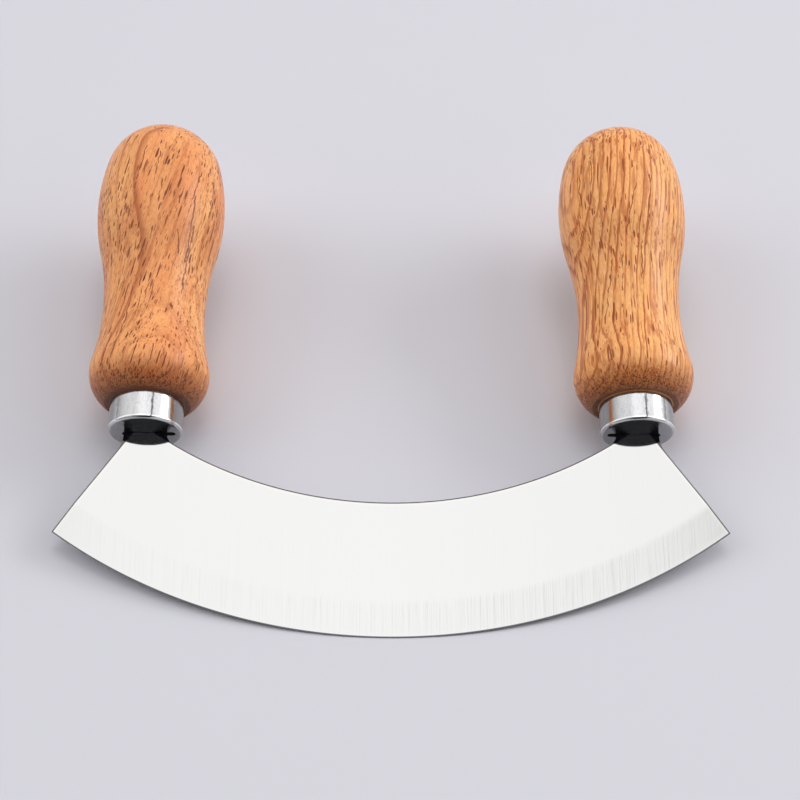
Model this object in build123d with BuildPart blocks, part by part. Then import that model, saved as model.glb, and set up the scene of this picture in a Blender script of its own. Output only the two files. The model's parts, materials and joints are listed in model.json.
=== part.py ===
# Mezzaluna: a two-handled rocking chopper with one curved steel blade.
#
# It is modelled lying on a table, as such a tool comes to rest: on the middle of its cutting
# edge and on the thick lower ends of both handles, with the handles' tops in the air.
# +X runs along the blade, +Y from the cutting edge towards the handles and +Z up.
# The origin is on the table, under the middle of the part's box. Lengths are millimetres.
#
# The tool has a plane of its own, the middle plane of the blade. There u runs along the
# blade, v from the lowest point of the cutting edge towards the handles, and w out of the
# blade's upper flat. A size called "height" is measured along v from the cutting edge.

import os
from math import asin, atan2, cos, degrees, hypot, sin, sqrt

from build123d import *

# Blade: one sheet of stainless steel, ground on both sides along the convex edge. The sides
# of its two necks, towards the other handle and away from it, are measured from the
# handle's axis.
blade_span = 178.0
blade_thickness = 1.8
blade_depth = 37.0
edge_radius = 152.0
edge_thickness = 0.2
spine_radius = 110.0
grind_width = 9.5
tip_overhang = 22.5
neck_inner_width = 6.0
neck_outer_width = 5.6
neck_length = 2.2
neck_outer_length = 0.9
neck_outer_radius = 8.0
neck_inner_fillet = 3.4

# Tangs: one at each end of the blade, driven into a handle and thinned towards the tip.
tang_width = 7.0
tang_length = 42.0
tang_tip_width = 4.5
tang_tip_thickness = 1.2
tang_thinning_start = 0.3

# Ferrules: pressed steel cups on the handles' ends, with a slot for the blade's neck. The
# slot reaches further past the neck on the side of the other handle.
ferrule_diameter = 20.0
ferrule_length = 8.6
ferrule_wall = 0.8
ferrule_rim_radius = 1.1
ferrule_mouth_radius = 0.3
slot_outer_clearance = 0.6
slot_inner_clearance = 2.2
slot_side_clearance = 0.15

# Handles: turned hardwood, with a shoulder that the ferrule butts against. The thick base,
# the waist and the bulb lie along the handle at their places from the shoulder.
handle_length = 89.5
shoulder_ledge = 1.7
base_diameter = 32.8
base_position = 9.0
waist_narrowing = 4.6
waist_place_share = 0.324
bulb_widening = 8.0
bulb_place_share = 0.693
bulb_side_radius = 61.0
bore_side_room = 0.5
bore_end_room = 3.0

# Cutting tools run past the faces that they cut by this much.
overrun = 2.0

# The blade's outline and the places of the ferrules and handles on it.
axis_u = blade_span / 2 - tip_overhang
neck_outer_u = axis_u + neck_outer_width
neck_inner_u = axis_u - neck_inner_width
tip_height = edge_radius - sqrt(edge_radius**2 - (blade_span / 2) ** 2)
spine_centre_height = blade_depth + spine_radius
spine_end_height = spine_centre_height - sqrt(spine_radius**2 - neck_inner_u**2)
ferrule_height = spine_end_height + neck_length
shoulder_height = ferrule_height + ferrule_length
spigot_height = ferrule_height + ferrule_wall
tang_end_height = spigot_height + tang_length
bore_end_height = tang_end_height + bore_end_room
handle_top_height = shoulder_height + handle_length

# Beyond each neck the outline bends outwards on an arc, up to the straight line to the tip.
neck_outer_end = ferrule_height - neck_outer_length
flare_centre_u = neck_outer_u + neck_outer_radius
flare_run = blade_span / 2 - flare_centre_u
flare_rise = neck_outer_end - tip_height
flare_turn = atan2(flare_run, flare_rise) + asin(neck_outer_radius / hypot(flare_run, flare_rise))

# How far the slot reaches from the ferrule's axis towards the other handle and away from it,
# and the distance of its middle from that axis.
slot_inner_reach = neck_inner_width + slot_inner_clearance
slot_outer_reach = neck_outer_width + slot_outer_clearance
slot_length = slot_inner_reach + slot_outer_reach
slot_shift = (slot_inner_reach - slot_outer_reach) / 2

# Radii and places of the handle's turned outline.
ferrule_radius = ferrule_diameter / 2
spigot_radius = ferrule_radius - ferrule_wall
bore_radius = tang_width / 2 + bore_side_room
shoulder_radius = ferrule_radius + shoulder_ledge
base_radius = base_diameter / 2
waist_radius = base_radius - waist_narrowing / 2
bulb_radius = waist_radius + bulb_widening / 2
base_height = shoulder_height + base_position
waist_height = shoulder_height + handle_length * waist_place_share
bulb_height = shoulder_height + handle_length * bulb_place_share


def rounding_radius(swell, run):
    """The radius of an arc that leaves its widest point and falls by swell over run."""
    return (swell**2 + run**2) / (2 * swell)


# The base swells out of the shoulder on one arc, and the side then runs from widest to
# narrowest place on pairs of arcs that bend opposite ways. The arcs of a pair share out
# the radius of the single arc that would join the same two places.
base_arc_radius = rounding_radius(base_radius - shoulder_radius, base_position)
lower_waist_radius = (
    rounding_radius(waist_narrowing / 2, waist_height - base_height) - base_arc_radius
)
upper_waist_radius = (
    rounding_radius(bulb_widening / 2, bulb_height - waist_height) - bulb_side_radius
)

# The domed top touches the bulb's arc and closes on the axis.
dome_rise = handle_top_height - bulb_height
dome_radius = (2 * bulb_side_radius * bulb_radius - bulb_radius**2 - dome_rise**2) / (
    2 * (bulb_side_radius - dome_rise)
)

# The rest tilt turns the blade's plane up from the table until the lowest point of the
# edge and the underside of the handles' bases touch the table together.
base_drop = base_radius - base_arc_radius - edge_thickness / 2
rest_tilt = asin(base_arc_radius / hypot(base_height, base_drop)) + atan2(base_drop, base_height)

# The origin is on the table in the middle of the part's box.
box_front = -edge_thickness / 2 * sin(rest_tilt)
box_back = (handle_top_height - dome_radius) * cos(rest_tilt) + dome_radius
tool_plane = Plane(
    origin=(0, -(box_front + box_back) / 2, edge_thickness / 2 * cos(rest_tilt)),
    x_dir=(1, 0, 0),
    z_dir=(0, -sin(rest_tilt), cos(rest_tilt)),
)


def tool_point(u, v):
    """The place of a point of the blade's middle plane."""
    return tool_plane.from_local_coords((u, v, 0))


def handle_plane(side):
    """The blade's plane moved to one handle: its x is the radius, its y the handle's axis."""
    origin = tool_point(side * axis_u, 0)
    return Plane(origin=origin, x_dir=tool_plane.x_dir, z_dir=tool_plane.z_dir)


def cross_plane(side, height):
    """A plane across one handle's axis, facing the handle's top."""
    origin = tool_point(side * axis_u, height)
    return Plane(origin=origin, x_dir=tool_plane.x_dir, z_dir=tool_plane.y_dir)


def long_plane(height):
    """A plane square to the blade on its middle line: its x runs towards the edge, its y is w."""
    return Plane(origin=tool_point(0, height), x_dir=-tool_plane.y_dir, z_dir=-tool_plane.x_dir)


def meeting_point(centre_a, radius_a, centre_b, radius_b):
    """Where two arcs that bend opposite ways run into each other."""
    return centre_a + (centre_b - centre_a) * (radius_a / (radius_a + radius_b))


os.makedirs("parts", exist_ok=True)

# Blade with its two tangs. The outline is drawn for the right half and mirrored.
edge_half_angle = degrees(asin(blade_span / 2 / edge_radius))
spine_half_angle = degrees(asin(neck_inner_u / spine_radius))

with BuildPart() as blade:
    with BuildSketch(tool_plane) as half_outline:
        with BuildLine():
            CenterArc((0, edge_radius), edge_radius, -90, edge_half_angle)
            flare = JernArc(
                start=(neck_outer_u, neck_outer_end),
                tangent=(0, -1),
                radius=neck_outer_radius,
                arc_size=degrees(flare_turn),
            )
            Line(flare @ 1, (blade_span / 2, tip_height))
            Polyline(
                (neck_outer_u, neck_outer_end),
                (neck_outer_u, spigot_height),
                (axis_u + tang_width / 2, spigot_height),
                (axis_u + tang_tip_width / 2, tang_end_height),
                (axis_u - tang_tip_width / 2, tang_end_height),
                (axis_u - tang_width / 2, spigot_height),
                (neck_inner_u, spigot_height),
                (neck_inner_u, spine_end_height),
            )
            CenterArc((0, spine_centre_height), spine_radius, spine_half_angle - 90, -spine_half_angle)
            Line((0, blade_depth), (0, 0))
        make_face()
        inner_corner = half_outline.vertices().sort_by_distance((neck_inner_u, spine_end_height))[0]
        fillet(inner_corner, radius=neck_inner_fillet)
        mirror(about=Plane.YZ)
    extrude(amount=blade_thickness / 2, both=True)

    # The grind: a shallow cone on each side, which follows the edge.
    grind_slope = (blade_thickness - edge_thickness) / 2 / grind_width
    with BuildSketch(long_plane(edge_radius)):
        with BuildLine():
            Polyline(
                (edge_radius - grind_width, blade_thickness / 2),
                (edge_radius + overrun, blade_thickness / 2),
                (edge_radius + overrun, edge_thickness / 2 - overrun * grind_slope),
                close=True,
            )
        make_face()
        mirror(about=Plane.XZ)
    revolve(axis=Axis(tool_point(0, edge_radius), tool_plane.z_dir), mode=Mode.SUBTRACT)

    # Each tang is thinned on both sides, from just outside the ferrule to its tip.
    thinning_run = tang_end_height - ferrule_height + tang_thinning_start
    with BuildSketch(long_plane(tang_end_height)):
        with BuildLine():
            Polyline(
                (thinning_run, blade_thickness / 2),
                (0, tang_tip_thickness / 2),
                (0, blade_thickness / 2),
                close=True,
            )
        make_face()
        mirror(about=Plane.XZ)
    extrude(amount=blade_span / 2, both=True, mode=Mode.SUBTRACT)
blade.part.label = "blade"
export_step(blade.part, "parts/blade.step")

for side_name, side in (("left", -1), ("right", 1)):
    axis_plane = handle_plane(side)
    handle_axis = Axis(axis_plane.origin, axis_plane.y_dir)

    # Ferrule: a cup with a flat end, a rounded rim and a slot for the blade's neck.
    with BuildPart() as ferrule:
        with BuildSketch(axis_plane) as cup_section:
            with BuildLine():
                Polyline(
                    (0, ferrule_height),
                    (ferrule_radius, ferrule_height),
                    (ferrule_radius, shoulder_height),
                    (spigot_radius, shoulder_height),
                    (spigot_radius, spigot_height),
                    (0, spigot_height),
                    close=True,
                )
            make_face()
            rim = cup_section.vertices().sort_by_distance((ferrule_radius, ferrule_height))[0]
            fillet(rim, radius=ferrule_rim_radius)
            mouth = cup_section.vertices().sort_by_distance((ferrule_radius, shoulder_height))[0]
            fillet(mouth, radius=ferrule_mouth_radius)
        revolve(axis=handle_axis)
        with BuildSketch(cross_plane(side, ferrule_height - overrun)):
            with Locations((-side * slot_shift, 0)):
                SlotOverall(slot_length, blade_thickness + 2 * slot_side_clearance)
        extrude(amount=overrun + ferrule_wall, mode=Mode.SUBTRACT)
    ferrule.part.label = f"ferrule_{side_name}"
    export_step(ferrule.part, f"parts/ferrule_{side_name}.step")

    # Handle: a spigot inside the ferrule, a bore for the tang, and the turned outline.
    base_centre = Vector(base_radius - base_arc_radius, base_height)
    lower_waist_centre = Vector(waist_radius + lower_waist_radius, waist_height)
    upper_waist_centre = Vector(waist_radius + upper_waist_radius, waist_height)
    bulb_centre = Vector(bulb_radius - bulb_side_radius, bulb_height)
    dome_centre = Vector(0, handle_top_height - dome_radius)
    base_end = meeting_point(base_centre, base_arc_radius, lower_waist_centre, lower_waist_radius)
    bulb_start = meeting_point(bulb_centre, bulb_side_radius, upper_waist_centre, upper_waist_radius)
    dome_start = bulb_centre + (dome_centre - bulb_centre).normalized() * bulb_side_radius
    with BuildPart() as handle:
        with BuildSketch(axis_plane):
            with BuildLine():
                Polyline(
                    (0, handle_top_height),
                    (0, bore_end_height),
                    (bore_radius, bore_end_height),
                    (bore_radius, spigot_height),
                    (spigot_radius, spigot_height),
                    (spigot_radius, shoulder_height),
                    (shoulder_radius, shoulder_height),
                )
                ThreePointArc(
                    (shoulder_radius, shoulder_height),
                    (base_radius, base_height),
                    base_end,
                )
                RadiusArc(base_end, (waist_radius, waist_height), lower_waist_radius)
                RadiusArc((waist_radius, waist_height), bulb_start, upper_waist_radius)
                ThreePointArc(bulb_start, (bulb_radius, bulb_height), dome_start)
                RadiusArc(dome_start, (0, handle_top_height), -dome_radius)
            make_face()
        revolve(axis=handle_axis)
    handle.part.label = f"handle_{side_name}"
    export_step(handle.part, f"parts/handle_{side_name}.step")

    # Adhesive: cured resin that fills the handle's bore all round the tang.
    with BuildPart() as adhesive:
        with BuildSketch(cross_plane(side, spigot_height)):
            Circle(bore_radius)
        extrude(amount=bore_end_height - spigot_height)
        add(blade.part, mode=Mode.SUBTRACT)
    adhesive.part.label = f"adhesive_{side_name}"
    export_step(adhesive.part, f"parts/adhesive_{side_name}.step")
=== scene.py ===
# Looks of a mezzaluna, a two-handled rocking chopper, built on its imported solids.
# Everything is in metres, in the frame of the solids: the chopper lies on the floor z = 0,
# its cutting edge towards -Y and the tops of its handles towards +Y.
import json
import math

import bpy
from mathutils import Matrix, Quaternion, Vector

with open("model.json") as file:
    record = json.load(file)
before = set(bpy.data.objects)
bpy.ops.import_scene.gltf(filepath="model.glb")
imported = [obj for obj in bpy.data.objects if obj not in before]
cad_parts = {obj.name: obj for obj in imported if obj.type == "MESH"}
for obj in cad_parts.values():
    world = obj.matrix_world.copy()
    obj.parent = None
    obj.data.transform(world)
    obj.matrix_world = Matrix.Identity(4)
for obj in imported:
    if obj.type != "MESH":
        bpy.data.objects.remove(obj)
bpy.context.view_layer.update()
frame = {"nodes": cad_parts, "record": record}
scene = bpy.context.scene
scene.view_settings.view_transform = "Standard"
for solid in frame["nodes"].values():
    solid.data.materials.clear()


# Camera: it looks down over the cutting edge from nearly half a metre, as in the photograph,
# and is turned by one degree about its own line of sight.
camera_place = Vector((-0.00291, -0.29310, 0.36092))
looked_at = Vector((0.00246, 0.00218, 0.0))
camera_roll = math.radians(1.0)
sensor_mm = 36
lens_mm = 73.76

camera_data = bpy.data.cameras.new("camera")
camera_data.sensor_width = sensor_mm
camera_data.lens = lens_mm
camera_data.clip_start = 0.02
camera_data.clip_end = 50
camera = bpy.data.objects.new("camera", camera_data)
camera.rotation_mode = "QUATERNION"
camera.location = camera_place
straight_at = (looked_at - camera_place).to_track_quat("-Z", "Y")
camera.rotation_quaternion = straight_at @ Quaternion((0, 0, 1), camera_roll)
scene.collection.objects.link(camera)
scene.camera = camera


# Studio: a plain pale floor, and a room of soft light with two big diffusers overhead.
# The diffusers meet in a narrow dark gap to the right, and the side of the camera is dark.
floor_half = 20.0
floor_colour = (0.583, 0.577, 0.626, 1)
floor_roughness = 0.75
background = (0.47, 0.465, 0.49, 1)
near_black = (0.020, 0.021, 0.028)
# The room's light at shares of the half turn over the top: from floor to floor, left to
# right, and from the camera's side to the far side.
left_to_right = [
    (0.00, 0.55), (0.05, 0.95), (0.36, 0.92), (0.42, 1.22), (0.50, 1.25), (0.56, 1.20), (0.605, 1.18),
    (0.612, 0.14), (0.634, 0.14), (0.642, 1.12), (0.74, 1.20), (0.80, 1.65), (0.93, 1.60), (0.97, 0.75),
]
near_to_far = [
    (0.00, 0.35), (0.03, 0.28), (0.08, near_black), (0.328, near_black), (0.360, 1.0), (0.62, 1.0),
    (0.74, 0.78), (0.86, 0.60), (1.00, 0.50),
]
# Between these angles from straight overhead, in radians, the dark side lightens sideways.
side_start = 0.45
side_end = 0.90
side_light = 0.42


def node(tree, kind, options=None, **inputs):
    """One shader node. Its inputs are numbers, colours or other nodes' outputs, by name, or
    by their place as i0, i1 and so on."""
    made = tree.nodes.new(kind)
    for name, value in (options or {}).items():
        setattr(made, name, value)
    for name, value in inputs.items():
        key = int(name[1:]) if name[0] == "i" and name[1:].isdigit() else name.replace("_", " ")
        if isinstance(value, bpy.types.NodeSocket):
            tree.links.new(value, made.inputs[key])
        else:
            made.inputs[key].default_value = value
    return made


def maths(tree, operation, *values):
    """The result of one sum, each value a number or another node's output."""
    inputs = {f"i{n}": value for n, value in enumerate(values)}
    return node(tree, "ShaderNodeMath", {"operation": operation}, **inputs).outputs[0]


def between(tree, value, low, high, to_low=0.0, to_high=1.0, smooth=True):
    """A value taken from one range to another and held at its ends."""
    kind = {"interpolation_type": "SMOOTHSTEP" if smooth else "LINEAR"}
    ranges = {"i1": low, "i2": high, "i3": to_low, "i4": to_high}
    return node(tree, "ShaderNodeMapRange", kind, Value=value, **ranges).outputs[0]


def ramp(tree, value, stops, smooth=True):
    """A colour ramp through stops of (place, grey or colour)."""
    made = node(tree, "ShaderNodeValToRGB", i0=value)
    bar = made.color_ramp
    bar.interpolation = "EASE" if smooth else "LINEAR"
    while len(bar.elements) < len(stops):
        bar.elements.new(0.5)
    for element, (place, colour) in zip(bar.elements, stops):
        element.position = place
        element.color = (colour, colour, colour, 1) if isinstance(colour, float) else (*colour, 1)
    return made.outputs[0]


def layer(tree, under, over, mask, strength=1.0, blend="MIX"):
    """One colour laid over another by a mask, and by a strength where it has one."""
    if strength != 1.0:
        mask = maths(tree, "MULTIPLY", mask, strength)
    options = {"data_type": "RGBA", "blend_type": blend}
    return node(tree, "ShaderNodeMix", options, i0=mask, i6=under, i7=over).outputs[2]


world = bpy.data.worlds.new("studio")
scene.world = world
world.use_nodes = True
room = world.node_tree
room.nodes.clear()
direction = node(room, "ShaderNodeTexCoord").outputs["Generated"]
across, away, up = node(room, "ShaderNodeSeparateXYZ", i0=direction).outputs
leaning_right = maths(room, "ARCTAN2", across, up)
leaning_away = maths(room, "ARCTAN2", away, up)
right_share = maths(room, "MULTIPLY_ADD", leaning_right, 1 / math.pi, 0.5)
far_share = maths(room, "MULTIPLY_ADD", leaning_away, 1 / math.pi, 0.5)
diffusers = ramp(room, right_share, left_to_right, smooth=False)
dark_side = ramp(room, far_share, near_to_far, smooth=False)
aside = maths(room, "ABSOLUTE", leaning_right)
beside = between(room, aside, side_start, side_end, 0.0, side_light, smooth=False)
dark_side = layer(room, dark_side, beside, 1.0, blend="LIGHTEN")
lit_room = layer(room, diffusers, dark_side, 1.0, blend="MULTIPLY")
seen_directly = node(room, "ShaderNodeLightPath").outputs["Is Camera Ray"]
shown = layer(room, lit_room, background, seen_directly)
glow = node(room, "ShaderNodeBackground", Color=shown, Strength=1.0)
node(room, "ShaderNodeOutputWorld", Surface=glow.outputs[0])

# The upper lamp draws the shadows and the left one fills them. The one to the right is the
# long box that shines on the oiled wood and in the ferrules.
for name, spot, length, width, watts, shines in (
    ("upper lamp", (0.05, 0.20, 0.88), 0.40, 0.40, 1.15, False),
    ("left lamp", (-1.60, 0.12, 1.20), 1.40, 1.40, 7.2, False),
    ("right lamp", (1.68, 0.56, 0.98), 1.40, 0.60, 13.0, True),
):
    lamp_data = bpy.data.lights.new(name, "AREA")
    lamp_data.shape = "ELLIPSE"
    lamp_data.size = length
    lamp_data.size_y = width
    lamp_data.energy = watts
    lamp = bpy.data.objects.new(name, lamp_data)
    lamp.location = spot
    lamp.rotation_euler = (-lamp.location).to_track_quat("-Z", "Y").to_euler()
    lamp.visible_glossy = shines
    lamp.visible_camera = False
    scene.collection.objects.link(lamp)


def material(name):
    """A new material with an empty tree."""
    made = bpy.data.materials.new(name)
    made.use_nodes = True
    made.node_tree.nodes.clear()
    return made, made.node_tree


def surface(tree, **inputs):
    """The Principled shader of a material, joined to its output."""
    shader = node(tree, "ShaderNodeBsdfPrincipled", **inputs)
    node(tree, "ShaderNodeOutputMaterial", Surface=shader.outputs[0])


corners = [(-1, -1), (1, -1), (1, 1), (-1, 1)]
floor_mesh = bpy.data.meshes.new("floor")
floor_mesh.from_pydata([(x * floor_half, y * floor_half, 0) for x, y in corners], [], [(0, 1, 2, 3)])
floor = bpy.data.objects.new("floor", floor_mesh)
scene.collection.objects.link(floor)
floor_paint, tree = material("pale floor")
surface(tree, Base_Color=floor_colour, Roughness=floor_roughness)
floor_mesh.materials.append(floor_paint)


# Blade: one sheet of stainless steel, rolled nearly to a mirror, with a band ground on both
# sides along the edge. The two tangs are stamped from the same sheet. Its sizes lie in the
# sheet's plane, along the blade and up from the foot of its edge, in millimetres.
edge_seat = next(mount for mount in frame["record"]["mounts"] if mount["name"] == "edge_guard_seat")
edge_foot = Vector(edge_seat["pos_m"])
towards_edge = Vector(edge_seat["axis"])
rest_tilt = math.atan2(-towards_edge.z, -towards_edge.y)
blade_depth_mm = 37.0
edge_radius_mm = 152.0
spine_radius_mm = 110.0
spine_middle_mm = blade_depth_mm + spine_radius_mm
tip_reach_mm = 89.0
tip_height_mm = edge_radius_mm - math.sqrt(edge_radius_mm**2 - tip_reach_mm**2)
end_lean = math.radians(33.8)
band_width_mm = 9.5
band_ragged_mm = 3.0
band_start_mm = (0.6, 3.2)
near_edge_mm = (2.2, 0.5)
worn_margin_mm = (0.3, 1.4)
dark_outline_mm = (0.24, 0.42)
ground_harder_mm = (-60.0, 50.0)

# Noise cells per millimetre along the blade, up it and through it.
roll_marks = (2.2, 0.03, 0.0)
grind_marks = (2.4, 0.03, 0.0)
band_marks = (2.4, 0.0, 0.0)
rolled_greys = [(0.30, (0.722, 0.722, 0.717)), (0.70, (0.732, 0.732, 0.727))]
ground_greys = [(0.30, (0.56, 0.56, 0.56)), (0.48, (0.71, 0.71, 0.705)), (0.70, (0.76, 0.76, 0.75))]
worn_steel = (0.80, 0.775, 0.73, 1)
# Painted dark reflection along the outline, and painted shadow along the edge.
painted_dark_reflection = (0.09, 0.09, 0.10, 1)
rolled_roughness = 0.06
ground_depth = 0.000004


def vector_maths(tree, operation, first, second):
    """The result of one sum of two vectors: a number for a distance or a dot product."""
    made = node(tree, "ShaderNodeVectorMath", {"operation": operation}, i0=first, i1=second)
    return made.outputs["Value" if operation in ("DISTANCE", "DOT_PRODUCT") else "Vector"]


def group(name, inputs, outputs):
    """A shader node group, the sockets that give it its values, and those of its results.
    inputs has the usual value of each socket, and outputs the kind of each."""
    made = bpy.data.node_groups.new(name, "ShaderNodeTree")
    for label, usual in inputs.items():
        kind = "NodeSocketVector" if isinstance(usual, tuple) else "NodeSocketFloat"
        made.interface.new_socket(label, in_out="INPUT", socket_type=kind).default_value = usual
    for label, kind in outputs.items():
        made.interface.new_socket(label, in_out="OUTPUT", socket_type=kind)
    return made, made.nodes.new("NodeGroupInput").outputs, made.nodes.new("NodeGroupOutput").inputs


def placed(tree, effect, **inputs):
    """The outputs of a node group that is placed in a tree with its own values."""
    return node(tree, "ShaderNodeGroup", {"node_tree": effect}, **inputs).outputs


# Rolling, grinding, handling and growth all leave marks that are drawn out along one way.
drawn_marks, given, result = group(
    "drawn marks",
    {"Place": (0.0, 0.0, 0.0), "Cells": (1.0, 1.0, 1.0), "Detail": 4.0, "Roughness": 0.6},
    {"Mark": "NodeSocketFloat"},
)
drawn_place = node(drawn_marks, "ShaderNodeMapping", Vector=given["Place"], Scale=given["Cells"]).outputs[0]
fineness = {"Detail": given["Detail"], "Roughness": given["Roughness"]}
mark = node(drawn_marks, "ShaderNodeTexNoise", Vector=drawn_place, Scale=1.0, **fineness).outputs["Fac"]
drawn_marks.links.new(mark, result["Mark"])


def marks(tree, place, cells, detail=4.0, roughness=0.6):
    """Drawn marks with a number of cells per millimetre along each axis."""
    return placed(tree, drawn_marks, Place=place, Cells=cells, Detail=detail, Roughness=roughness)["Mark"]


def place_mm(tree, origin):
    """Places on the piece in millimetres from origin, in the tilted plane of the tool."""
    solid_place = node(tree, "ShaderNodeTexCoord").outputs["Object"]
    turned = {"Location": origin, "Rotation": (rest_tilt, 0, 0), "Scale": (0.001, 0.001, 0.001)}
    options = {"vector_type": "TEXTURE"}
    return node(tree, "ShaderNodeMapping", options, Vector=solid_place, **turned).outputs[0]


def relief(tree, height, strength, distance, options=None):
    """Normals bent by a height over the surface, the distance in metres."""
    depths = {"Height": height, "Strength": strength, "Distance": distance}
    return node(tree, "ShaderNodeBump", options, **depths).outputs[0]


def dress(finish, *names):
    """Puts a finished material on solids of the frame."""
    for name in names:
        frame["nodes"][name].data.materials.append(finish)


blade_steel, tree = material("rolled blade steel")
place = place_mm(tree, edge_foot)
along, height = node(tree, "ShaderNodeSeparateXYZ", i0=place).outputs[:2]
flat_place = node(tree, "ShaderNodeCombineXYZ", X=along, Y=height).outputs[0]


def from_middle(middle_mm):
    """The distance in the blade's plane from a point on its middle line."""
    return vector_maths(tree, "DISTANCE", flat_place, (0, middle_mm, 0))


into_band = maths(tree, "SUBTRACT", from_middle(edge_radius_mm), edge_radius_mm - band_width_mm)
ragged = marks(tree, place, band_marks, roughness=0.8)
band = between(tree, maths(tree, "MULTIPLY_ADD", ragged, band_ragged_mm, into_band), *band_start_mm)
from_edge = maths(tree, "SUBTRACT", band_width_mm, into_band)
near_edge = between(tree, from_edge, *near_edge_mm)
rolling = marks(tree, place, roll_marks)
grinding = marks(tree, place, grind_marks, detail=5.0, roughness=0.75)
harder = between(tree, along, *ground_harder_mm, 0.25, 1.0)
harder = maths(tree, "SUBTRACT", harder, maths(tree, "MULTIPLY", near_edge, 0.25))
ground = maths(tree, "MULTIPLY", band, harder)
rolled_colour = ramp(tree, rolling, rolled_greys, smooth=False)
ground_colour = ramp(tree, grinding, ground_greys, smooth=False)
colour = layer(tree, rolled_colour, ground_colour, ground)
# The stamped outline is rubbed along its margin. A narrow band along the outline, and the honed facet along
# the edge, are painted dark: a painted reflection of the dark surroundings, and along the edge a painted
# shadow too.
past_spine = maths(tree, "SUBTRACT", from_middle(spine_middle_mm), spine_radius_mm)
inside_tip = maths(tree, "SUBTRACT", tip_reach_mm, maths(tree, "ABSOLUTE", along))
inside_tip = maths(tree, "MULTIPLY", inside_tip, math.cos(end_lean))
below_tip = maths(tree, "SUBTRACT", tip_height_mm, height)
inside_end = maths(tree, "MULTIPLY_ADD", below_tip, math.sin(end_lean), inside_tip)
margin = maths(tree, "MINIMUM", past_spine, inside_end)
worn = between(tree, margin, *worn_margin_mm, 1.0, 0.0)
colour = layer(tree, colour, worn_steel, worn, strength=0.7)
margin = maths(tree, "MINIMUM", margin, from_edge)
dark_outline_paint = between(tree, margin, *dark_outline_mm, 1.0, 0.0)
colour = layer(tree, colour, painted_dark_reflection, dark_outline_paint, strength=0.95)
ground_roughness = between(tree, grinding, 0.3, 0.7, 0.14, 0.22)
finishes = {"i0": ground, "i2": rolled_roughness, "i3": ground_roughness}
roughness = node(tree, "ShaderNodeMix", {"data_type": "FLOAT"}, **finishes).outputs[0]
scratched = relief(tree, maths(tree, "MULTIPLY", grinding, ground), 0.5, ground_depth)
surface(tree, Base_Color=colour, Metallic=1.0, Roughness=roughness, Normal=scratched)
dress(blade_steel, "blade")


# Ferrules: cups pressed from thin steel, polished to a mirror and slid over the tangs up to the blade's
# necks. Handling has left faint smears, and a painted highlight runs along their rims.
ferrule_length_mm = 8.6
ferrule_radius_mm = 10.0

# Noise cells per millimetre across the cup, along it and through it.
dents = (0.35, 0.35, 0.35)
smear_marks = (1.1, 0.4, 1.1)
speck_marks = (2.2, 1.4, 2.2)
polished_greys = [(0.30, (0.76, 0.76, 0.765)), (0.50, (0.72, 0.72, 0.73)), (0.68, (0.63, 0.63, 0.64))]
# Painted dim reflection on the sides and the slotted end.
painted_dim_grey = (0.31, 0.31, 0.315, 1)
speck_grey = (0.26, 0.26, 0.27, 1)
# Painted highlight on the rims.
painted_highlight_white = (0.98, 0.98, 0.98, 1)
dent_depth = 0.00006


def facing(tree, way):
    """How far the surface faces a way, from -1 to 1."""
    normal = node(tree, "ShaderNodeTexCoord").outputs["Normal"]
    return vector_maths(tree, "DOT_PRODUCT", normal, way)


polish, tree = material("polished ferrule")
place = place_mm(tree, edge_foot)
smears = marks(tree, place, smear_marks, detail=5.0, roughness=0.7)
specks = marks(tree, place, speck_marks, roughness=0.8)
colour = ramp(tree, smears, polished_greys)
# The sides and the slotted end are a little rougher, and their colour is painted a darker grey, a painted
# dim reflection.
to_side = maths(tree, "ABSOLUTE", facing(tree, (1, 0, 0)))
to_end = facing(tree, towards_edge)
dull_and_painted_dim = maths(tree, "MAXIMUM", between(tree, to_side, 0.60, 0.85), between(tree, to_end, 0.7, 0.9))
colour = layer(tree, colour, painted_dim_grey, dull_and_painted_dim, strength=between(tree, specks, 0.30, 0.65, 0.70, 0.90))
colour = layer(tree, colour, speck_grey, between(tree, specks, 0.50, 0.75, 0.0, 0.4))
# A painted highlight lies on the rounded rim where it leaves the side.
off_side = between(tree, to_end, 0.02, 0.10)
rim_highlight = maths(tree, "MULTIPLY", off_side, between(tree, to_end, 0.30, 0.50, 1.0, 0.0))
colour = layer(tree, colour, painted_highlight_white, rim_highlight)
roughness = maths(tree, "MULTIPLY_ADD", dull_and_painted_dim, 0.06, between(tree, smears, 0.35, 0.75, 0.09, 0.18))
dented = relief(tree, marks(tree, place, dents, detail=2.0), 1.0, dent_depth)
surface(tree, Base_Color=colour, Metallic=1.0, Roughness=roughness, Normal=dented)
dress(polish, "ferrule_left", "ferrule_right")


# Adhesive: cloudy resin, poured into the handles' bores to hold the tangs, and cured there.
# It fills each bore, so nothing of it shows from outside.
cloud_marks = (0.5, 0.5, 0.5)
resin_browns = [(0.3, (0.36, 0.25, 0.11)), (0.7, (0.50, 0.38, 0.20))]
resin_roughness = 0.25

resin, tree = material("cured resin")
cloud = marks(tree, place_mm(tree, edge_foot), cloud_marks, detail=3.0)
surface(tree, Base_Color=ramp(tree, cloud, resin_browns), Roughness=resin_roughness)
dress(resin, "adhesive_left", "adhesive_right")


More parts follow.
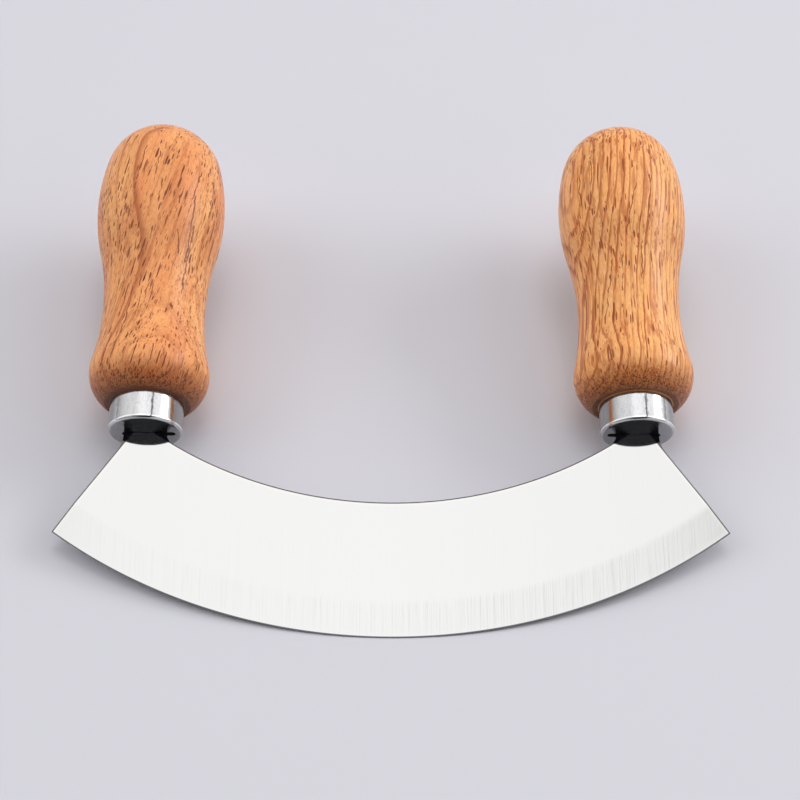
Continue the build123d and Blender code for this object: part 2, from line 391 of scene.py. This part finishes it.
# Handles: open-pored hardwood turned on a lathe, sanded, oiled and pressed on over the
# tangs, with the shoulder against the ferrule. The pores are long vessels along the grain,
# so they show as streaks on the sides and as dots on the ends.
tip_overhang_mm = 22.5
neck_inner_mm = 6.0
neck_length_mm = 2.2
axis_mm = tip_reach_mm - tip_overhang_mm
spine_end_mm = spine_middle_mm - math.sqrt(spine_radius_mm**2 - (axis_mm - neck_inner_mm) ** 2)
shoulder_mm = spine_end_mm + neck_length_mm + ferrule_length_mm
bow_middle_mm = 61.0
bow_reach_mm = 20.0
heart_line_mm = 0.9
vessel_waver_mm = 1.6
ferrule_shade_mm = (4.5, 0.2)
bright_ring_mm = (0.12, 0.34)
inside_ferrule_mm = (-0.30, -0.05)

# Noise cells per millimetre across the grain, along it and through it.
broad_waver = (0.06, 0.018, 0.06)
small_waver = (0.28, 0.035, 0.28)
vessel_waver = (0.10, 0.22, 0.10)
vessel_thinning = (1.3, 0.30, 1.3)
tint_marks = (0.13, 0.012, 0.13)
fibre_marks = (2.6, 0.60, 2.6)
streak_marks = (0.85, 0.022, 0.85)
break_marks = (0.9, 0.06, 0.9)
crowd_marks = (0.14, 0.06, 0.14)
long_pore_marks = (0.10, 0.02, 0.10)
soaked_marks = (4.2, 4.2, 4.2)
soaked_brown = (0.052, 0.020, 0.009, 1)
ferrule_shade_brown = (0.085, 0.036, 0.018, 1)
bright_ring_orange = (1.00, 0.44, 0.14, 1)
inside_ferrule_shade = (0.020, 0.011, 0.007, 1)
wood_shine = 0.32
pore_depth = 0.00012


def scaled(tree, vector, share):
    """A vector made longer or shorter."""
    return node(tree, "ShaderNodeVectorMath", {"operation": "SCALE"}, i0=vector, Scale=share).outputs[0]


# Growth rings are nearly flat sheets through the small piece of the tree that a handle is
# cut from. They bow along the grain and waver, and each ends in a darker, sharp line.
rings, given, result = group(
    "growth rings",
    {"Place": (0.0, 0.0, 0.0), "Facing": (0.0, 0.0, 1.0), "Bow": 0.1, "Spacing": 3.0, "Waver": 3.0},
    {
        "Bent Place": "NodeSocketVector",
        "Phase": "NodeSocketFloat",
        "Line": "NodeSocketFloat",
        "Depth": "NodeSocketFloat",
    },
)
height = node(rings, "ShaderNodeSeparateXYZ", i0=given["Place"]).outputs["Y"]
run = maths(rings, "SUBTRACT", height, bow_middle_mm)
arch = maths(rings, "SQRT", maths(rings, "MULTIPLY_ADD", run, run, bow_reach_mm**2))
lift = maths(rings, "MULTIPLY", maths(rings, "SUBTRACT", arch, bow_reach_mm), given["Bow"])
broad = maths(rings, "SUBTRACT", marks(rings, given["Place"], broad_waver, detail=1.0), 0.5)
small = maths(rings, "SUBTRACT", marks(rings, given["Place"], small_waver, detail=2.0), 0.5)
lift = maths(rings, "MULTIPLY_ADD", broad, given["Waver"], lift)
lift = maths(rings, "MULTIPLY_ADD", small, maths(rings, "MULTIPLY", given["Waver"], 0.35), lift)
bent = vector_maths(rings, "ADD", given["Place"], scaled(rings, given["Facing"], lift))
depth = vector_maths(rings, "DOT_PRODUCT", bent, given["Facing"])
count = maths(rings, "DIVIDE", depth, given["Spacing"])
phase = maths(rings, "FRACT", count)
whole_years = maths(rings, "FLOOR", count)
year = node(rings, "ShaderNodeTexWhiteNoise", {"noise_dimensions": "1D"}, W=whole_years).outputs["Value"]
late_growth = between(rings, phase, 0.66, 0.86)
edge = maths(rings, "MULTIPLY", late_growth, between(rings, phase, 0.94, 1.0, 1.0, 0.0))
line = maths(rings, "MULTIPLY", edge, maths(rings, "MULTIPLY_ADD", year, 0.70, 0.30))
rings.links.new(bent, result["Bent Place"])
rings.links.new(phase, result["Phase"])
rings.links.new(line, result["Line"])
rings.links.new(depth, result["Depth"])

# Pores are long thin cells, each with a chance of its own to be open, a shade and a girth.
pores, given, result = group(
    "wood pores",
    {"Place": (0.0, 0.0, 0.0), "Spacing": 1.3, "Length": 9.0, "Size": 0.2, "Kept": 0.8},
    {"Mask": "NodeSocketFloat", "Shade": "NodeSocketFloat"},
)
across, height, above = node(pores, "ShaderNodeSeparateXYZ", i0=given["Place"]).outputs
cells = node(
    pores,
    "ShaderNodeCombineXYZ",
    X=maths(pores, "DIVIDE", across, given["Spacing"]),
    Y=maths(pores, "DIVIDE", height, given["Length"]),
    Z=maths(pores, "DIVIDE", above, given["Spacing"]),
)
options = {"voronoi_dimensions": "3D"}
vessel = node(pores, "ShaderNodeTexVoronoi", options, Vector=cells.outputs[0], Scale=1.0, Randomness=1.0)
chance, shade, girth = node(pores, "ShaderNodeSeparateColor", i0=vessel.outputs["Color"]).outputs
reach = maths(pores, "MULTIPLY", given["Size"], maths(pores, "MULTIPLY_ADD", girth, 0.8, 0.7))
hollow = between(pores, maths(pores, "DIVIDE", vessel.outputs["Distance"], reach), 1.0, 0.8)
kept = maths(pores, "LESS_THAN", chance, given["Kept"])
pores.links.new(maths(pores, "MULTIPLY", hollow, kept), result["Mask"])
pores.links.new(shade, result["Shade"])

# Here and there the lathe opens one vessel over a long way, from one place to another.
long_vessel, given, result = group(
    "long vessel",
    {"Place": (0.0, 0.0, 0.0), "Start": (0.0, 0.0, 0.0), "End": (0.0, 10.0, 0.0), "Half Width": 0.2},
    {"Mask": "NodeSocketFloat"},
)
across, height, above = node(long_vessel, "ShaderNodeSeparateXYZ", i0=given["Place"]).outputs
uneven = maths(long_vessel, "SUBTRACT", marks(long_vessel, given["Place"], vessel_waver, detail=3.0), 0.5)
across = maths(long_vessel, "MULTIPLY_ADD", uneven, vessel_waver_mm, across)
on_top = node(long_vessel, "ShaderNodeCombineXYZ", X=across, Y=height).outputs[0]
from_start = vector_maths(long_vessel, "SUBTRACT", on_top, given["Start"])
whole = vector_maths(long_vessel, "SUBTRACT", given["End"], given["Start"])
gone = vector_maths(long_vessel, "DOT_PRODUCT", from_start, whole)
squared = vector_maths(long_vessel, "DOT_PRODUCT", whole, whole)
clamped = {"operation": "DIVIDE", "use_clamp": True}
share = node(long_vessel, "ShaderNodeMath", clamped, i0=gone, i1=squared).outputs[0]
away_from = vector_maths(long_vessel, "DISTANCE", from_start, scaled(long_vessel, whole, share))
thinning = marks(long_vessel, given["Place"], vessel_thinning, detail=2.0)
thinning = between(long_vessel, thinning, 0.38, 0.56, 0.15, 1.0)
half_width = maths(long_vessel, "MULTIPLY", given["Half Width"], thinning)
line = between(long_vessel, maths(long_vessel, "DIVIDE", away_from, half_width), 1.25, 0.6)
upper_side = maths(long_vessel, "GREATER_THAN", above, 0.0)
long_vessel.links.new(maths(long_vessel, "MULTIPLY", line, upper_side), result["Mask"])

# The shoulder below the base is cut across the grain and drinks more oil, so it is darker and dotted, and
# its darkening is partly painted shade, as it faces down towards the blade. Painted shade deepens towards
# the ferrule, a thin bright orange ring is painted beside it, and what lies inside the ferrule is painted
# near black, a painted shade in the cup.
cut_shoulder, given, result = group(
    "cut shoulder",
    {"Place": (0.0, 0.0, 0.0), "Grain": (0.0, 0.0, 0.0)},
    {name: "NodeSocketFloat" for name in ("End Grain And Shade", "Speckle", "Ferrule Shade", "Bright Ring", "Inside Ferrule")},
)
across, height, above = node(cut_shoulder, "ShaderNodeSeparateXYZ", i0=given["Place"]).outputs
across_grain = between(cut_shoulder, facing(cut_shoulder, towards_edge), 0.05, 0.75)
soaked = marks(cut_shoulder, given["Place"], soaked_marks, detail=2.0, roughness=0.8)
soaked = between(cut_shoulder, soaked, 0.40, 0.64)
ends = placed(cut_shoulder, pores, Place=given["Grain"], Spacing=0.42, Length=3.0, Size=0.42, Kept=0.75)
speckle = maths(cut_shoulder, "MAXIMUM", maths(cut_shoulder, "MULTIPLY", soaked, 0.7), ends["Mask"])
across_squared = maths(cut_shoulder, "MULTIPLY", across, across)
from_axis = maths(cut_shoulder, "SQRT", maths(cut_shoulder, "MULTIPLY_ADD", above, above, across_squared))
from_ferrule = maths(cut_shoulder, "SUBTRACT", from_axis, ferrule_radius_mm)
ferrule_shade = between(cut_shoulder, from_ferrule, *ferrule_shade_mm)
bright_ring = between(cut_shoulder, from_ferrule, *bright_ring_mm, 1.0, 0.0)
cut_shoulder.links.new(across_grain, result["End Grain And Shade"])
cut_shoulder.links.new(maths(cut_shoulder, "MULTIPLY", across_grain, speckle), result["Speckle"])
cut_shoulder.links.new(maths(cut_shoulder, "MULTIPLY", across_grain, ferrule_shade), result["Ferrule Shade"])
cut_shoulder.links.new(maths(cut_shoulder, "MULTIPLY", across_grain, bright_ring), result["Bright Ring"])
cut_shoulder.links.new(between(cut_shoulder, height, *inside_ferrule_mm, 1.0, 0.0), result["Inside Ferrule"])

# Each handle is turned from its own piece of wood: the left one from a redder, flat-sawn
# piece with leaning grain, the right one from a yellower piece with close upright rings.
# Rings and pores are in millimetres, and each long vessel has its start and end, across the
# handle and up from the shoulder, and half its width. The heart begins at its own depth
# through the rings, and its line fades out between two places across the handle.
woods = {
    "left": {
        "pale": (0.98, 0.475, 0.180, 1),
        "middle": (0.84, 0.320, 0.115, 1),
        "deep": (0.36, 0.080, 0.020, 1),
        "pore": (0.18, 0.033, 0.007, 1),
        "old pore": (0.050, 0.020, 0.011, 1),
        "across rings": (0.20, 0.0, 0.98),
        "ring bow": 0.18,
        "ring spacing": 3.1,
        "ring waver": 2.0,
        "ring shading": 0.13,
        "ring lines": 0.24,
        "grain lean": 13.0,
        "heart depth": 15.7,
        "heart fades": (-1.0, 6.0),
        "streaks": 0.40,
        "flecks": 0.50,
        "pore length": 7.0,
        "pore size": 0.25,
        "most open": 0.80,
        "fine pores": 0.55,
        "long pores": (0.44, 0.56, 0.0, 0.9),
        "bright ring": 0.15,
        "long vessels": [
            (12.4, 66.0, 10.2, 54.6, 0.17), (11.5, 58.8, 9.4, 38.6, 0.24), (11.3, 49.6, 8.5, 29.4, 0.22),
            (7.2, 47.1, 7.6, 40.6, 0.20), (1.1, 71.5, 0.0, 61.3, 0.18), (8.3, 60.2, 7.3, 55.0, 0.18),
            (-1.6, 33.5, -2.4, 29.7, 0.16), (-3.8, 33.0, -5.5, 19.7, 0.17), (-5.5, 30.6, -7.3, 21.9, 0.17),
            (-1.5, 29.2, -2.8, 20.1, 0.17), (0.4, 33.5, -0.8, 24.8, 0.20), (1.9, 32.1, 0.0, 22.3, 0.16),
            (-5.0, 21.2, -7.8, 10.4, 0.18), (-9.2, 15.9, -11.3, 6.3, 0.15), (3.1, 10.3, 2.3, 5.6, 0.18),
            (-3.0, 74.0, -5.0, 62.0, 0.17),
        ],
    },
    "right": {
        "pale": (1.00, 0.560, 0.220, 1),
        "middle": (0.96, 0.450, 0.155, 1),
        "deep": (0.43, 0.095, 0.018, 1),
        "pore": (0.27, 0.052, 0.010, 1),
        "old pore": (0.070, 0.026, 0.012, 1),
        "across rings": (-0.95, 0.08, 0.30),
        "ring bow": 0.03,
        "ring spacing": 1.75,
        "ring waver": 4.6,
        "ring shading": 0.22,
        "ring lines": 1.0,
        "grain lean": 1.0,
        "heart depth": -40.0,
        "heart fades": (50.0, 60.0),
        "streaks": 0.60,
        "flecks": 0.50,
        "pore length": 7.5,
        "pore size": 0.27,
        "most open": 0.14,
        "fine pores": 0.45,
        "long pores": (0.25, 0.55, 0.5, 1.0),
        "bright ring": 0.80,
        "long vessels": [
            (-9.5, 75.3, -11.0, 54.8, 0.18), (-13.2, 67.9, -13.7, 53.6, 0.15), (2.7, 44.0, 1.7, 30.3, 0.24),
            (6.4, 64.6, 3.2, 38.2, 0.22), (-3.0, 39.6, -3.5, 28.9, 0.18), (-5.7, 38.6, -8.7, 18.9, 0.18),
            (1.8, 61.3, -1.7, 46.8, 0.20), (-8.3, 11.7, -8.0, 7.0, 0.24), (7.8, 41.5, 7.5, 34.7, 0.16),
        ],
    },
}
for side, out in (("left", -1), ("right", 1)):
    cut = woods[side]
    pale, middle, deep = cut["pale"], cut["middle"], cut["deep"]
    wood, tree = material("oiled wood " + side)
    shoulder_middle = Vector((out * axis_mm, 0, 0)) - towards_edge * shoulder_mm
    place = place_mm(tree, edge_foot + shoulder_middle / 1000)
    across = node(tree, "ShaderNodeSeparateXYZ", i0=place).outputs["X"]
    ring = placed(
        tree,
        rings,
        Place=place,
        Facing=cut["across rings"],
        Bow=cut["ring bow"],
        Spacing=cut["ring spacing"],
        Waver=cut["ring waver"],
    )
    lean = (0, 0, math.radians(cut["grain lean"]))
    grain = node(tree, "ShaderNodeMapping", Vector=ring["Bent Place"], Rotation=lean).outputs[0]
    fibre = marks(tree, grain, fibre_marks, roughness=0.8)
    # The wood before its pores: pale and middle parts, the heart with its line, then the
    # shade and the line of each ring, streaks and short flecks.
    tint = marks(tree, grain, tint_marks, detail=3.0)
    colour = layer(tree, pale, middle, between(tree, tint, 0.36, 0.64))
    heart = between(tree, ring["Depth"], cut["heart depth"] - 0.3, cut["heart depth"])
    past_heart = maths(tree, "SUBTRACT", ring["Depth"], cut["heart depth"])
    heart_line = maths(tree, "MULTIPLY", heart, between(tree, past_heart, 0.0, heart_line_mm, 1.0, 0.0))
    heart_line = maths(tree, "MULTIPLY", heart_line, between(tree, across, *cut["heart fades"], 1.0, 0.15))
    colour = layer(tree, colour, middle, heart, strength=0.4)
    colour = layer(tree, colour, deep, heart_line, strength=0.75)
    colour = layer(tree, colour, deep, ring["Phase"], strength=cut["ring shading"])
    unbroken = between(tree, marks(tree, grain, break_marks, detail=3.0), 0.32, 0.46)
    ring_line = maths(tree, "MULTIPLY", ring["Line"], unbroken)
    colour = layer(tree, colour, deep, ring_line, strength=cut["ring lines"])
    streak = marks(tree, grain, streak_marks, detail=3.0)
    colour = layer(tree, colour, deep, between(tree, streak, 0.50, 0.62, 0.0, cut["streaks"]))
    fleck = between(tree, fibre, 0.40, 0.72, 0.0, cut["flecks"], smooth=False)
    colour = layer(tree, colour, deep, fleck)
    # Pores crowd along the ring lines and in patches. A few are filled with old dark oil.
    patch = marks(tree, grain, crowd_marks, detail=2.0)
    patch = between(tree, patch, 0.38, 0.58, 0.10, cut["most open"])
    crowd = maths(tree, "MULTIPLY_ADD", ring["Line"], 0.6, patch)
    long_kept = between(tree, marks(tree, grain, long_pore_marks, detail=1.0), *cut["long pores"])
    large = placed(
        tree,
        pores,
        Place=grain,
        Spacing=0.95,
        Length=cut["pore length"],
        Size=cut["pore size"],
        Kept=crowd,
    )
    fine = placed(tree, pores, Place=grain, Spacing=0.50, Length=3.2, Size=0.30, Kept=crowd)
    drawn = placed(tree, pores, Place=grain, Spacing=0.95, Length=32.0, Size=0.21, Kept=long_kept)
    old_pores = placed(tree, pores, Place=grain, Spacing=3.0, Length=14.0, Size=0.075, Kept=0.8)
    large_shade = maths(tree, "MULTIPLY_ADD", large["Shade"], 0.3, 0.7)
    colour = layer(tree, colour, cut["pore"], fine["Mask"], strength=cut["fine pores"])
    colour = layer(tree, colour, cut["pore"], drawn["Mask"], strength=0.95)
    colour = layer(tree, colour, cut["pore"], large["Mask"], strength=large_shade)
    colour = layer(tree, colour, cut["old pore"], old_pores["Mask"], strength=0.9)
    opened = 0.0
    for start_across, start_up, end_across, end_up, half_width in cut["long vessels"]:
        start = (start_across, start_up, 0)
        end = (end_across, end_up, 0)
        vessel = placed(tree, long_vessel, Place=place, Start=start, End=end, Half_Width=half_width)
        opened = maths(tree, "MAXIMUM", opened, vessel["Mask"])
    colour = layer(tree, colour, cut["pore"], opened, strength=0.85)
    shoulder = placed(tree, cut_shoulder, Place=place, Grain=grain)
    # Partly the end grain's own darker oil, partly painted shade on the downward-facing shoulder.
    colour = layer(tree, colour, deep, shoulder["End Grain And Shade"], strength=0.68)
    colour = layer(tree, colour, soaked_brown, shoulder["Speckle"], strength=0.88)
    # Painted shade that deepens towards the ferrule.
    colour = layer(tree, colour, ferrule_shade_brown, shoulder["Ferrule Shade"], strength=0.50)
    # A thin bright orange ring painted on the wood beside the ferrule.
    colour = layer(tree, colour, bright_ring_orange, shoulder["Bright Ring"], strength=cut["bright ring"])
    # Painted shade: the wood inside the ferrule is painted near black.
    colour = layer(tree, colour, inside_ferrule_shade, shoulder["Inside Ferrule"])
    # The open pores are hollows in the sanded surface, and the fine ones are shallow.
    dug = maths(tree, "MAXIMUM", large["Mask"], maths(tree, "MAXIMUM", old_pores["Mask"], opened))
    dug = maths(tree, "MULTIPLY_ADD", fine["Mask"], 0.4, dug)
    hollows = relief(tree, dug, 0.5, pore_depth, {"invert": True})
    roughness = between(tree, fibre, 0.3, 0.7, 0.32, 0.44)
    surface(tree, Base_Color=colour, Roughness=roughness, Normal=hollows, Specular_IOR_Level=wood_shine)
    dress(wood, "handle_" + side)
